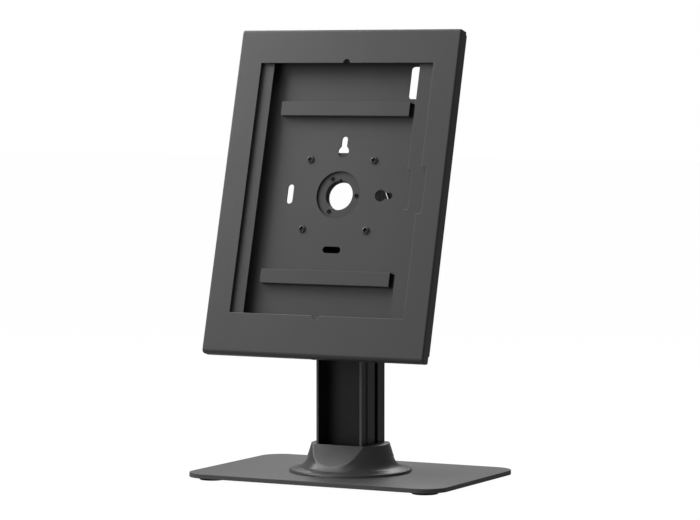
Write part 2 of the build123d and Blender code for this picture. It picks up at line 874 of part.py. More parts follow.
# Tilt bracket: web behind the hub with a cheek each side that reaches the pivots
with BuildPart() as tilt_bracket:
    with BuildSketch(hub_plane(web_front)):
        with Locations((0, -bracket_below_hub)):
            Rectangle(
                bracket_width,
                bracket_below_hub + bracket_above_hub,
                align=(Align.CENTER, Align.MIN),
            )
    extrude(amount=-bracket_web)
    for side in (-1, 1):
        with BuildSketch(side_plane.offset(side * bracket_width / 2)):
            with Locations((face_before_pivot, -face_above_pivot)):
                Circle(bracket_lobe_radius)
            with Locations((bracket_lobe_depth, bracket_lobe_raise)):
                Circle(bracket_lobe_radius)
            with Locations((web_front, hub_raise - bracket_below_hub)):
                Rectangle(
                    bracket_web,
                    bracket_below_hub + bracket_above_hub,
                    align=(Align.MIN, Align.MIN),
                )
            make_hull()
            with Locations((cheek_slot_depth, cheek_slot_raise)):
                SlotOverall(
                    cheek_slot_length,
                    cheek_slot_width,
                    rotation=cheek_slot_angle,
                    mode=Mode.SUBTRACT,
                )
            with Locations((face_before_pivot, -face_above_pivot)):
                Circle(pivot_bolt_diameter / 2 + fit_gap, mode=Mode.SUBTRACT)
        extrude(amount=-side * bracket_cheek)
    fillet(
        tilt_bracket.faces().sort_by(into_axis)[0].edges().filter_by(Axis(face_centre, up)),
        bracket_cheek,
    )
    with BuildSketch(hub_plane(web_front)):
        Circle(web_bore_diameter / 2)
        with PolarLocations(hub_screw_circle / 2, hub_screw_count):
            Circle(hub_screw_diameter / 2 + fit_gap)
        with PolarLocations(stop_slot_radius, 1, start_angle=stop_angle):
            Circle(stop_pin_diameter / 2 + fit_gap)
    extrude(amount=-bracket_web, mode=Mode.SUBTRACT)
tilt_bracket.part.label = "tilt_bracket"
export_step(tilt_bracket.part, "parts/tilt_bracket.step")

# Bolts the bracket tilts on, with a hexagon socket in each head
with BuildPart() as pivot_bolts:
    for side in (-1, 1):
        with BuildSketch(cheek_plane(side, bracket_width / 2)):
            Circle(pivot_head_diameter / 2)
        extrude(amount=pivot_head_height)
        with BuildSketch(cheek_plane(side, bracket_width / 2)):
            Circle(pivot_bolt_diameter / 2)
        extrude(amount=yoke_width / 2 - yoke_thickness - pivot_nut_height - bracket_width / 2)
    chamfer(
        pivot_bolts.edges().group_by(Axis.X)[0] + pivot_bolts.edges().group_by(Axis.X)[-1],
        pivot_head_round,
    )
    for side in (-1, 1):
        with BuildSketch(cheek_plane(side, bracket_width / 2 + pivot_head_height)):
            RegularPolygon(pivot_socket_width / 2, 6, major_radius=False)
        extrude(amount=-pivot_socket_depth, mode=Mode.SUBTRACT)
pivot_bolts.part.label = "pivot_bolts"
export_step(pivot_bolts.part, "parts/pivot_bolts.step")

# Washers between the cheeks and the yoke
with BuildPart() as pivot_washers:
    for side in (-1, 1):
        with BuildSketch(cheek_plane(side, yoke_width / 2)):
            Circle(pivot_washer_diameter / 2)
            Circle(pivot_bolt_diameter / 2 + fit_gap, mode=Mode.SUBTRACT)
        extrude(amount=pivot_washer_thickness)
pivot_washers.part.label = "pivot_washers"
export_step(pivot_washers.part, "parts/pivot_washers.step")

# Lock nuts on the pivot bolts inside the yoke
with BuildPart() as pivot_nuts:
    for side in (-1, 1):
        with BuildSketch(cheek_plane(side, yoke_width / 2 - yoke_thickness)):
            RegularPolygon(pivot_nut_width / 2, 6, major_radius=False)
            Circle(pivot_bolt_diameter / 2 + fit_gap, mode=Mode.SUBTRACT)
        extrude(amount=-pivot_nut_height)
pivot_nuts.part.label = "pivot_nuts"
export_step(pivot_nuts.part, "parts/pivot_nuts.step")

# Tamper-proof screw through the bottom walls of the frame and the housing
with BuildPart() as lock_screw:
    with BuildSketch(floor_plane.offset(-frame_height / 2)):
        with Locations((0, lock_screw_depth)):
            Circle(lock_head_diameter / 2)
    extrude(amount=-lock_head_height)
    with BuildSketch(floor_plane.offset(-frame_height / 2 - lock_head_height)):
        with Locations((0, lock_screw_depth)):
            RegularPolygon(lock_socket_width / 2, 6, major_radius=False)
            Circle(lock_pin_diameter / 2, mode=Mode.SUBTRACT)
    extrude(amount=lock_head_height, mode=Mode.SUBTRACT)
    with BuildSketch(floor_plane.offset(-frame_height / 2)):
        with Locations((0, lock_screw_depth)):
            Circle(lock_screw_diameter / 2)
    extrude(amount=housing_floor + frame_height / 2 + housing_sheet + lock_nut_height)
lock_screw.part.label = "lock_screw"
export_step(lock_screw.part, "parts/lock_screw.step")

# Press nut for the tamper-proof screw inside the housing
with BuildPart() as lock_nut:
    with BuildSketch(floor_plane.offset(housing_floor + housing_sheet)):
        with Locations((0, lock_screw_depth)):
            Circle(lock_nut_diameter / 2)
            Circle(lock_screw_diameter / 2 + fit_gap, mode=Mode.SUBTRACT)
    extrude(amount=lock_nut_height)
lock_nut.part.label = "lock_nut"
export_step(lock_nut.part, "parts/lock_nut.step")
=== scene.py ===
import math

import bmesh
import bpy
from bpy.props import FloatProperty, FloatVectorProperty, PointerProperty
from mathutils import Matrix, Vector


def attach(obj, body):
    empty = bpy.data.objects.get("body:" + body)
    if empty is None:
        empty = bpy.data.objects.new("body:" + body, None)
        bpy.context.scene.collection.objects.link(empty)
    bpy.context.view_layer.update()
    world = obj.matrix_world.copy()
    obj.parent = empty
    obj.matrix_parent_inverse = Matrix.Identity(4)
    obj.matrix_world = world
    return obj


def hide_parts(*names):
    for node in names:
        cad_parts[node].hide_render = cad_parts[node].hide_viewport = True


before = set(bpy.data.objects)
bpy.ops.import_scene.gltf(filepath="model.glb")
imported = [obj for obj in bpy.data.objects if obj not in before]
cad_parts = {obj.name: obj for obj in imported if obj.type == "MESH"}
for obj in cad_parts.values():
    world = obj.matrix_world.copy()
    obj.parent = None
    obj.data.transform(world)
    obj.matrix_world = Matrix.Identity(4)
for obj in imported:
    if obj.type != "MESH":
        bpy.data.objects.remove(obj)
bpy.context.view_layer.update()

bl_info = {
    "name": "Tablet security kiosk stand",
    "version": (1, 0, 0),
    "blender": (4, 5, 0),
    "location": "3D View > Sidebar > Kiosk stand",
    "description": "Dresses the packed stand with its finishes, small parts, light and camera",
    "category": "Object",
}


# Shader maths

class Wire:
    """One output socket of a material, with arithmetic that adds Math nodes."""

    def __init__(self, recipe, socket):
        self.recipe = recipe
        self.socket = socket

    def _math(self, operation, *values):
        return self.recipe.add("ShaderNodeMath", {"operation": operation}, *values)

    def __add__(self, other):
        return self._math("ADD", self, other)

    __radd__ = __add__

    def __sub__(self, other):
        return self._math("SUBTRACT", self, other)

    def __rsub__(self, other):
        return self._math("SUBTRACT", other, self)

    def __mul__(self, other):
        return self._math("MULTIPLY", self, other)

    __rmul__ = __mul__

    def clamped(self):
        return self.recipe.add(
            "ShaderNodeMath", {"operation": "ADD", "use_clamp": True}, self, 0.0
        )

    def over(self, low, high):
        """0 below low, 1 above high and smooth between."""
        return self.recipe.add(
            "ShaderNodeMapRange",
            {"interpolation_type": "SMOOTHSTEP"},
            self, low, high, 0.0, 1.0,
        )


class Recipe:
    """A material that is written as a list of steps."""

    def __init__(self, name):
        self.material = bpy.data.materials.new(name)
        self.material.use_nodes = True
        self.tree = self.material.node_tree
        self.tree.nodes.clear()
        self.surface = self.tree.nodes.new("ShaderNodeBsdfPrincipled")
        self.out = self.tree.nodes.new("ShaderNodeOutputMaterial")
        self.tree.links.new(self.surface.outputs[0], self.out.inputs[0])

    def connect(self, value, socket):
        if isinstance(value, Wire):
            self.tree.links.new(value.socket, socket)
        else:
            socket.default_value = value

    def add(self, kind, settings, *values, output=0, **named):
        """Adds a node: its settings first, then values or links by order or by name."""
        node = self.tree.nodes.new(kind)
        for key, setting in settings.items():
            setattr(node, key, setting)
        for socket, value in zip(node.inputs, values):
            self.connect(value, socket)
        for key, value in named.items():
            self.connect(value, node.inputs[key.replace("_", " ")])
        return Wire(self, node.outputs[output])

    def place(self):
        """Object coordinates."""
        return self.add("ShaderNodeTexCoord", {}, output=3)

    def noise(self, place, size, detail, rough):
        """Noise between 0 and 1 whose features are size metres across."""
        return self.add(
            "ShaderNodeTexNoise", {},
            Vector=place, Scale=1.0 / size, Detail=detail, Roughness=rough,
        )

    def stretched(self, place, scale):
        """Coordinates that draw a pattern out along the axes of small scale."""
        return self.add("ShaderNodeMapping", {}, Vector=place, Scale=scale)

    def blend(self, share, first, second):
        """Colour between first and second."""
        node = self.tree.nodes.new("ShaderNodeMix")
        node.data_type = "RGBA"
        self.connect(share, node.inputs[0])
        for value, socket in ((first, node.inputs[6]), (second, node.inputs[7])):
            self.connect((*value, 1.0) if isinstance(value, tuple) else value, socket)
        return Wire(self, node.outputs[2])

    def bump(self, height, depth, strength):
        return self.add(
            "ShaderNodeBump", {}, Strength=strength, Distance=depth, Height=height
        )

    def finish(self, **sockets):
        """Sets the surface's sockets and returns the material."""
        for key, value in sockets.items():
            socket = self.surface.inputs[key.replace("_", " ")]
            if isinstance(value, tuple) and len(value) == 3:
                value = (*value, 1.0)
            self.connect(value, socket)
        return self.material


def shade(grey):
    """Linear colour of a grey."""
    return (grey, grey, grey)


# Finishes

def powder_coat(name, grey, gloss=0.46, grain=0.00055, speck=0.10):
    """Fine matt powder coat: tiny orange-peel pits, a little speckle and faint handling haze."""
    recipe = Recipe(name)
    place = recipe.place()
    peel = recipe.noise(place, grain, 2.0, 0.6)
    pebble = recipe.add(
        "ShaderNodeTexVoronoi", {"feature": "SMOOTH_F1"}, Vector=place, Scale=1.0 / (grain * 1.6)
    )
    haze = recipe.noise(place, 0.09, 3.0, 0.5)
    wipe = recipe.noise(recipe.stretched(place, (6.0, 6.0, 1.2)), 0.05, 4.0, 0.6)
    fleck = recipe.noise(place, grain * 0.7, 1.0, 0.5).over(0.56, 0.72)
    base = recipe.blend(haze.over(0.3, 0.7), shade(grey * 0.96), shade(grey * 1.04))
    colour = recipe.blend(fleck * speck, base, shade(grey * 1.9))
    rough = gloss + 0.05 * (peel - 0.5) + 0.05 * (wipe - 0.5)
    height = peel * 0.6 + pebble * 0.4
    return recipe.finish(
        Base_Color=colour,
        Roughness=rough,
        Normal=recipe.bump(height, 0.00006, 0.55),
        Metallic=0.0,
    )


def moulded_plastic(name, grey, gloss, gleam=0.5):
    """Satin moulded plastic with a fine spark-eroded grain."""
    recipe = Recipe(name)
    place = recipe.place()
    grain = recipe.noise(place, 0.0004, 2.0, 0.65)
    sink = recipe.noise(place, 0.03, 2.0, 0.5)
    wipe = recipe.noise(place, 0.012, 4.0, 0.6).over(0.45, 0.8)
    colour = recipe.blend(sink.over(0.3, 0.7), shade(grey * 0.95), shade(grey * 1.06))
    return recipe.finish(
        Base_Color=colour,
        Roughness=gloss + 0.05 * wipe + 0.04 * (grain - 0.5),
        Normal=recipe.bump(grain, 0.00003, 0.4),
        Specular_IOR_Level=gleam,
    )


def anodised(name, grey, lip_front, lip_highlight_grey, gloss=0.42):
    """Black anodised extrusion: die lines along Z, a mottled film, and the lips' front faces
    painted lighter and glossier as a painted highlight.
    """
    recipe = Recipe(name)
    place = recipe.place()
    die = recipe.noise(recipe.stretched(place, (1.0, 1.0, 0.004)), 0.0005, 3.0, 0.7)
    broad = recipe.noise(recipe.stretched(place, (1.0, 1.0, 0.01)), 0.004, 2.0, 0.6)
    mottle = recipe.noise(place, 0.02, 3.0, 0.5)
    film = recipe.blend(mottle.over(0.35, 0.65), shade(grey * 0.93), shade(grey * 1.08))
    depth = recipe.add("ShaderNodeSeparateXYZ", {}, place, output=1)
    # painted highlight: the lips' front faces are painted lighter and glossier
    lip_highlight_mask = (depth * -1.0).over(lip_front - 0.0007, lip_front - 0.0002)
    colour = recipe.blend(lip_highlight_mask, film, shade(lip_highlight_grey))
    return recipe.finish(
        Base_Color=colour,
        Roughness=gloss + 0.08 * (die - 0.5) + 0.04 * (mottle - 0.5) - 0.1 * lip_highlight_mask,
        Normal=recipe.bump(die * 0.7 + broad * 0.3, 0.00004, 0.5),
        Specular_IOR_Level=0.3,
    )


def soft_rubber(name, grey):
    """Matt rubber with a fine sanded skin."""
    recipe = Recipe(name)
    place = recipe.place()
    skin = recipe.noise(place, 0.0006, 3.0, 0.7)
    dust = recipe.noise(place, 0.008, 3.0, 0.6).over(0.45, 0.75)
    return recipe.finish(
        Base_Color=recipe.blend(dust * 0.35, shade(grey), shade(grey * 2.2)),
        Roughness=0.78 + 0.1 * (skin - 0.5),
        Normal=recipe.bump(skin, 0.00006, 0.5),
    )


def black_steel(name, grey, gloss=0.36, metal=0.4):
    """Black-oxide screw steel with turning marks and a little wear."""
    recipe = Recipe(name)
    place = recipe.place()
    mark = recipe.noise(place, 0.0003, 3.0, 0.7)
    worn = recipe.noise(place, 0.0018, 3.0, 0.6).over(0.55, 0.8)
    return recipe.finish(
        Base_Color=recipe.blend(worn * 0.5, shade(grey), shade(grey * 2.4)),
        Roughness=gloss + 0.12 * (mark - 0.5) + 0.08 * worn,
        Normal=recipe.bump(mark, 0.00002, 0.4),
        Metallic=metal,
    )


def nylon(name, grey):
    """Black nylon with a waxy sheen."""
    recipe = Recipe(name)
    place = recipe.place()
    cloud = recipe.noise(place, 0.002, 3.0, 0.6)
    return recipe.finish(
        Base_Color=recipe.blend(cloud, shade(grey * 0.9), shade(grey * 1.15)),
        Roughness=0.5 + 0.1 * (cloud - 0.5),
        Normal=recipe.bump(cloud, 0.00002, 0.3),
    )


# Sizes and colours a user would change

def lightness(piece, grey):
    """Property for how light a piece's finish is."""
    return FloatProperty(
        name=f"{piece} grey", description=f"Lightness of the finish: {piece.lower()}",
        default=grey, min=0.0, max=1.0,
    )


class StandFinishes(bpy.types.PropertyGroup):
    frame_grey: lightness("Front frame", 0.092)
    housing_grey: lightness("Housing", 0.085)
    mask_grey: lightness("Mask", 0.085)
    base_grey: lightness("Base plate", 0.132)
    column_grey: lightness("Column", 0.028)
    cover_grey: lightness("Flared cover", 0.105)
    edge_round: FloatProperty(
        name="Edge rounding", description="Radius that paint and deburring leave on sheet edges",
        default=0.0006, min=0.0, unit="LENGTH",
    )


class StandStage(bpy.types.PropertyGroup):
    lens: FloatProperty(
        name="Lens", description="Focal length of the camera", default=161.244, unit="CAMERA"
    )
    camera_place: FloatVectorProperty(
        name="Camera place", description="Where the camera stands",
        default=(1.524291, -2.931940, 0.424490), unit="LENGTH",
    )
    camera_pitch: FloatProperty(
        name="Camera pitch", description="How far the camera looks down",
        default=math.radians(3.3414), subtype="ANGLE",
    )
    camera_turn: FloatProperty(
        name="Camera turn", description="How far the camera stands to the right",
        default=math.radians(27.4806), subtype="ANGLE",
    )


FINISHES = {}

# Softened sheet edges get a lighter paint than the faces beside them, a painted highlight, and a
# smoother gloss
EDGE_GLOSS = 0.34
FRAME_EDGE_HIGHLIGHT_GAIN = 2.1
MASK_EDGE_HIGHLIGHT_GAIN = 1.7
# The front faces of the column's lips, painted lighter as a highlight, lie this far before its
# axis
LIP_FRONT = 0.0268


def finish_for(kind):
    """Makes each finish once and returns it by name."""
    if not FINISHES:
        sizes = bpy.context.scene.stand_finishes
        FINISHES.update(
            frame=powder_coat("front_frame_powder_coat", sizes.frame_grey),
            # the two edge finishes are lighter greys: painted highlights on the softened edges
            frame_edge=powder_coat(
                "frame_edge_powder_coat", sizes.frame_grey * FRAME_EDGE_HIGHLIGHT_GAIN, EDGE_GLOSS
            ),
            mask_edge=powder_coat(
                "mask_edge_powder_coat", sizes.mask_grey * MASK_EDGE_HIGHLIGHT_GAIN, EDGE_GLOSS
            ),
            housing=powder_coat("housing_powder_coat", sizes.housing_grey),
            mask=powder_coat("mask_powder_coat", sizes.mask_grey),
            base=powder_coat("base_plate_powder_coat", sizes.base_grey),
            bracket=powder_coat("bracket_powder_coat", 0.045),
            hub=powder_coat("hub_powder_coat", 0.062),
            # the column's finish carries a painted highlight on the lips' front faces
            column=anodised("column_anodised_film", sizes.column_grey, LIP_FRONT, lip_highlight_grey=0.21),
            cover=moulded_plastic("flared_cover_plastic", sizes.cover_grey, 0.31, gleam=0.85),
            strip=moulded_plastic("cable_strip_plastic", 0.025, 0.42),
            rubber=soft_rubber("foot_rubber", 0.018),
            steel=black_steel("black_screw_steel", 0.022),
            screw=black_steel("face_screw_steel", 0.12, gloss=0.34, metal=0.0),
            # near-black painted shade for the screws' recesses
            recess=black_steel("screw_recess_painted_shade", 0.006, gloss=0.5, metal=0.0),
            nylon=nylon("washer_nylon", 0.04),
        )
    return FINISHES[kind]


# How CAD nodes are joined and softened
WELD_WITHIN = 0.00001
FLAT_WITHIN = math.radians(1.0)
SOFTEN_ABOVE = math.radians(22.0)
SMALL_ROUND = 0.00015
WINDOW_ROUND = 0.0004


def dress(name, kind, rounding=SMALL_ROUND, edge=None):
    """Gives a CAD node its finish and softened edges; edge, if given, names a lighter finish for
    the softened edges, a painted highlight.
    """
    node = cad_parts[name]
    node.data.materials.clear()
    node.data.materials.append(finish_for(kind))
    if edge:
        node.data.materials.append(finish_for(edge))
    for face in node.data.polygons:
        face.use_smooth = True
        face.material_index = 0
    weld = node.modifiers.new("Joined triangles", "WELD")
    weld.merge_threshold = WELD_WITHIN
    plain = node.modifiers.new("Whole flat faces", "DECIMATE")
    plain.decimate_type = "DISSOLVE"
    plain.angle_limit = FLAT_WITHIN
    bevel = node.modifiers.new("Softened edges", "BEVEL")
    bevel.width = rounding
    bevel.segments = 2
    bevel.limit_method = "ANGLE"
    bevel.angle_limit = SOFTEN_ABOVE
    bevel.use_clamp_overlap = not edge
    if edge:
        # the softened edges take the lighter edge finish: a painted highlight
        bevel.material = 1
    even = node.modifiers.new("Flat faces kept flat", "WEIGHTED_NORMAL")
    even.mode = "FACE_AREA"
    even.weight = 100


# Meshes

def skin(rows):
    """Mesh through closed loops of points; a loop whose points are one closes an end."""
    shape = bmesh.new()
    loops = [[shape.verts.new(point) for point in row] for row in rows]
    for near, far in zip(loops, loops[1:]):
        for place in range(len(near)):
            after = (place + 1) % len(near)
            shape.faces.new((near[place], near[after], far[after], far[place]))
    bmesh.ops.remove_doubles(shape, verts=shape.verts[:], dist=0.000001)
    bmesh.ops.recalc_face_normals(shape, faces=shape.faces[:])
    return shape


def turned(profile, count=40):
    """Mesh turned about Z from (radius, height) pairs."""
    steps = [2 * math.pi * place / count for place in range(count)]
    return skin(
        [[(r * math.cos(a), r * math.sin(a), z) for a in steps] for r, z in profile]
    )


def prism(outline, low, high, low_scale=1.0):
    """Mesh between two heights of one outline; the lower end may be smaller."""
    middle = [sum(point[axis] for point in outline) / len(outline) for axis in range(2)]
    narrow = [
        (middle[0] + (x - middle[0]) * low_scale, middle[1] + (y - middle[1]) * low_scale, low)
        for x, y in outline
    ]
    return skin([
        [(*middle, low)] * len(outline),
        narrow,
        [(x, y, high) for x, y in outline],
        [(*middle, high)] * len(outline),
    ])


def as_object(name, shape):
    """Linked object with the mesh of a shape, which is freed."""
    mesh = bpy.data.meshes.new(name)
    shape.to_mesh(mesh)
    shape.free()
    made = bpy.data.objects.new(name, mesh)
    bpy.context.scene.collection.objects.link(made)
    return made


def baked(made, helpers=()):
    """Replaces the object's mesh with its modified one and removes the helpers."""
    deps = bpy.context.evaluated_depsgraph_get()
    mesh = bpy.data.meshes.new_from_object(made.evaluated_get(deps))
    made.modifiers.clear()
    made.data = mesh
    for helper in helpers:
        bpy.data.objects.remove(helper)
    return made


def cut(made, cutter):
    """Takes the cutter out of an object and removes it."""
    carve = made.modifiers.new("Recess", "BOOLEAN")
    carve.operation = "DIFFERENCE"
    carve.solver = "EXACT"
    carve.object = cutter
    return baked(made, [cutter])


def keep_creases(made, limit):
    """Smooth shading with every edge above limit degrees kept sharp."""
    shape = bmesh.new()
    shape.from_mesh(made.data)
    for face in shape.faces:
        face.smooth = True
    for edge in shape.edges:
        edge.smooth = edge.calc_face_angle(0.0) < math.radians(limit)
    shape.to_mesh(made.data)
    shape.free()
    return made


def repeat_tree():
    """Node tree that sets one piece on every point, turned, and gives it a finish."""
    tree = bpy.data.node_groups.new("piece_on_points", "GeometryNodeTree")
    sockets = {}
    for name, way, kind in (
        ("Points", "INPUT", "NodeSocketGeometry"),
        ("Piece", "INPUT", "NodeSocketObject"),
        ("Turn", "INPUT", "NodeSocketVector"),
        ("Finish", "INPUT", "NodeSocketMaterial"),
        ("Result", "OUTPUT", "NodeSocketGeometry"),
    ):
        socket = tree.interface.new_socket(name, in_out=way, socket_type=kind)
        sockets[name] = socket.identifier
    start = tree.nodes.new("NodeGroupInput")
    source = tree.nodes.new("GeometryNodeObjectInfo")
    place = tree.nodes.new("GeometryNodeInstanceOnPoints")
    real = tree.nodes.new("GeometryNodeRealizeInstances")
    paint = tree.nodes.new("GeometryNodeSetMaterial")
    end = tree.nodes.new("NodeGroupOutput")
    tree.links.new(start.outputs["Points"], place.inputs["Points"])
    tree.links.new(start.outputs["Piece"], source.inputs["Object"])
    tree.links.new(source.outputs["Geometry"], place.inputs["Instance"])
    tree.links.new(start.outputs["Turn"], place.inputs["Rotation"])
    tree.links.new(place.outputs[0], real.inputs[0])
    tree.links.new(real.outputs[0], paint.inputs["Geometry"])
    tree.links.new(start.outputs["Finish"], paint.inputs["Material"])
    tree.links.new(paint.outputs[0], end.inputs[0])
    return tree, sockets


def repeated(name, piece, points, turn, kind):
    """One mesh with the piece at every point."""
    tree, sockets = repeat_tree()
    shape = bmesh.new()
    for point in points:
        shape.verts.new(point)
    made = as_object(name, shape)
    grow = made.modifiers.new("Piece on points", "NODES")
    grow.node_group = tree
    grow[sockets["Piece"]] = piece
    grow[sockets["Turn"]] = turn
    grow[sockets["Finish"]] = finish_for(kind)
    return baked(made, [piece])


# Frame of the tilted enclosure: the tilt axis, up the tablet and into it
TILT = math.radians(15.0)
PIVOT = Vector((0.0, -0.004, 0.284))
UP_TABLET = Vector((0.0, math.sin(TILT), math.cos(TILT)))
INTO_TABLET = Vector((0.0, math.cos(TILT), -math.sin(TILT)))
HUB_UP = 0.01048

# Four screws on a square and three on a ring, with the depths of their seats
SQUARE_HALF = 0.0375
SQUARE_SEAT = -0.0280
RING_RADIUS = 0.0201
RING_SEAT = -0.0256

# Screws
SCREW_TIP = 0.0003
RECESS_OVER = 0.001
SCREW_CREASE = 38.0


def on_tablet(across, up, depth):
    """Point from its place on the tilted enclosure, measured from the tilt axis."""
    return PIVOT + Vector((across, 0.0, 0.0)) + UP_TABLET * up + INTO_TABLET * depth


def shank_profile(shank, length):
    """Lower end of a screw's profile, with a broken edge at its tip."""
    return [
        (shank, 0.0), (shank, -length + SCREW_TIP), (shank - SCREW_TIP, -length), (0.0, -length)
    ]


def cross_screw(radius, rise, shank, length, arm, reach, depth):
    """Pan-head screw with a cross recess, its seat at height 0."""
    dome = ((0.0, 1.0), (0.3, 0.985), (0.55, 0.93), (0.75, 0.8), (0.9, 0.58), (0.98, 0.3))
    head = turned([
        *((radius * out, rise * up) for out, up in dome),
        (radius, rise * 0.08), (radius, 0.0), *shank_profile(shank, length),
    ])
    inner = arm * 1.25
    quarter = [(reach, -arm), (reach, arm), (inner, inner)]
    star = []
    for _ in range(4):
        star += quarter
        quarter = [(-y, x) for x, y in quarter]
    recess = prism(star, rise - depth, rise + RECESS_OVER, low_scale=0.55)
    made = cut(as_object("cross_screw", head), as_object("cross_recess", recess))
    return keep_creases(made, SCREW_CREASE)


def socket_screw(radius, rise, shank, length, wide, depth):
    """Low-head screw with a six-sided socket, its seat at height 0."""
    head = turned([
        (0.0, rise), (radius * 0.72, rise), (radius * 0.88, rise * 0.9),
        (radius * 0.97, rise * 0.6), (radius, rise * 0.3), (radius, 0.0),
        *shank_profile(shank, length),
    ])
    sides = [math.radians(60 * side) for side in range(6)]
    outline = [(wide * math.cos(a), wide * math.sin(a)) for a in sides]
    key = prism(outline, rise - depth, rise + RECESS_OVER)
    made = cut(as_object("socket_screw", head), as_object("socket_recess", key))
    return keep_creases(made, SCREW_CREASE)


# Flared cover: radii from the column's axis, heights from the base plate's top at COVER_FOOT
COVER_FOOT = 0.008
COVER_TOP = 0.030
COVER_TOP_RADIUS = 0.0415
COVER_OPENING = 0.0274
COVER_OPENING_LIP = 0.002
RIM_RADIUS = 0.0648
HOLLOW_RADIUS = 0.0608
FACET_TOP = 0.0284
# Rays that find the outside start at this radius and height
COVER_ANCHOR = (0.025, -0.030)
COVER_STEPS = 64
COVER_CREASE = 40.0
# A facet's edge is sharp above SOFT_BELOW, softens over SOFT_OVER and is sharp on the flange
SHARP = 0.0004
SOFT = 0.0046
SOFT_BELOW = 0.0125
SOFT_OVER = 0.006
FLANGE_TOP = 0.0032
# Cable arch at the cover's back
ARCH_HALF = 0.006
ARCH_HEIGHT = 0.007


def arc(centre, radius, start, end, steps):
    """Points on an arc, with its angles in degrees."""
    return [
        (centre[0] + radius * math.cos(math.radians(start + (end - start) * step / steps)),
         centre[1] + radius * math.sin(math.radians(start + (end - start) * step / steps)))
        for step in range(steps + 1)
    ]


def cover_profile():
    """Trumpet outline from above the top edge to the rim: flank, sweep and dished flange."""
    return [
        (COVER_TOP_RADIUS - 0.0066 * 0.2, COVER_TOP + 0.02155 * 0.2),
        (COVER_TOP_RADIUS, COVER_TOP), (0.0449, 0.0190),
        *arc((0.05944, 0.01789), 0.0138, 185.0, 254.0, 16),
        (0.0583, 0.00405), (0.0607, 0.0034), (0.0624, 0.0032), (0.0634, 0.0031),
        (0.0641, 0.00275), (0.070, 0.0010),
    ]


def facet_profile():
    """Outline of a facet: a straight slope from the column that sweeps out to the flange."""
    return [
        (0.0250, 0.03405), (FACET_TOP, COVER_TOP), (0.0460, 0.0090),
        *arc((0.05876, 0.0197), 0.01665, 220.0, 262.0, 12),
        (0.0600, 0.0031), (0.0640, 0.0030), (0.0720, 0.0028),
    ]


def reach(profile, direction, squeeze=1.0):
    """How far a ray from the anchor runs until it meets the profile."""
    start_r, start_z = COVER_ANCHOR[0] * squeeze, COVER_ANCHOR[1]
    run_r, run_z = direction[0] * squeeze, direction[1]
    found = 1.0
    for (r0, z0), (r1, z1) in zip(profile, profile[1:]):
        span_r, span_z = r1 - r0, z1 - z0
        cross = run_r * span_z - run_z * span_r
        if abs(cross) < 1e-12:
            continue
        along = ((r0 - start_r) * span_z - (z0 - start_z) * span_r) / cross
        share = ((r0 - start_r) * run_z - (z0 - start_z) * run_r) / cross
        if -1e-6 <= share <= 1 + 1e-6 and 0 < along < found:
            found = along
    return found


def softly_less(first, second, soft):
    """The smaller of two lengths, rounded where they are nearly the same."""
    share = max(soft - abs(first - second), 0.0) / soft
    return min(first, second) - share * share * soft / 4


def cover_turns():
    """Angles round the cover, closer together where the facets end."""
    marks = [*range(0, 40, 2)]
    marks += [40 + place * 0.5 for place in range(70)]
    marks += [75 + place * 1.5 for place in range(10)]
    turns = set()
    for quarter in range(4):
        for mark in marks:
            turn = quarter * 90.0 + (90.0 - mark if quarter % 2 else mark)
            turns.add(round(turn % 360.0, 3))
    return [math.radians(turn) for turn in sorted(turns)]


def outer_point(trumpet, facet, turn, top, share):
    """Radius and height on the outside, from the flange at share 0 to the top edge at 1."""
    low = math.atan2(0.0640 - COVER_ANCHOR[0], 0.0028 - COVER_ANCHOR[1])
    high = math.atan2(top - COVER_ANCHOR[0], COVER_TOP - 0.0004 - COVER_ANCHOR[1])
    lean = low + (high - low) * share
    way = (math.sin(lean), math.cos(lean))
    body = reach(trumpet, way)
    pared = reach(facet, way, abs(math.sin(turn)))
    height = COVER_ANCHOR[1] + way[1] * min(body, pared)
    soft = SHARP
    if height >= FLANGE_TOP:
        soft += SOFT * max(0.0, min(1.0, (SOFT_BELOW - height) / SOFT_OVER))
    length = softly_less(body, pared, soft)
    return COVER_ANCHOR[0] + way[0] * length, COVER_ANCHOR[1] + way[1] * length


def inner_radius(radius, height, turn):
    """Radius on the inside, where the facets leave less room than the trumpet."""
    run = FACET_TOP + 0.838 * (COVER_TOP - max(height, 0.009)) - 0.0019
    run += max(0.0, 0.009 - height) * 1.9
    return min(radius, run / max(abs(math.sin(turn)), 1e-6))


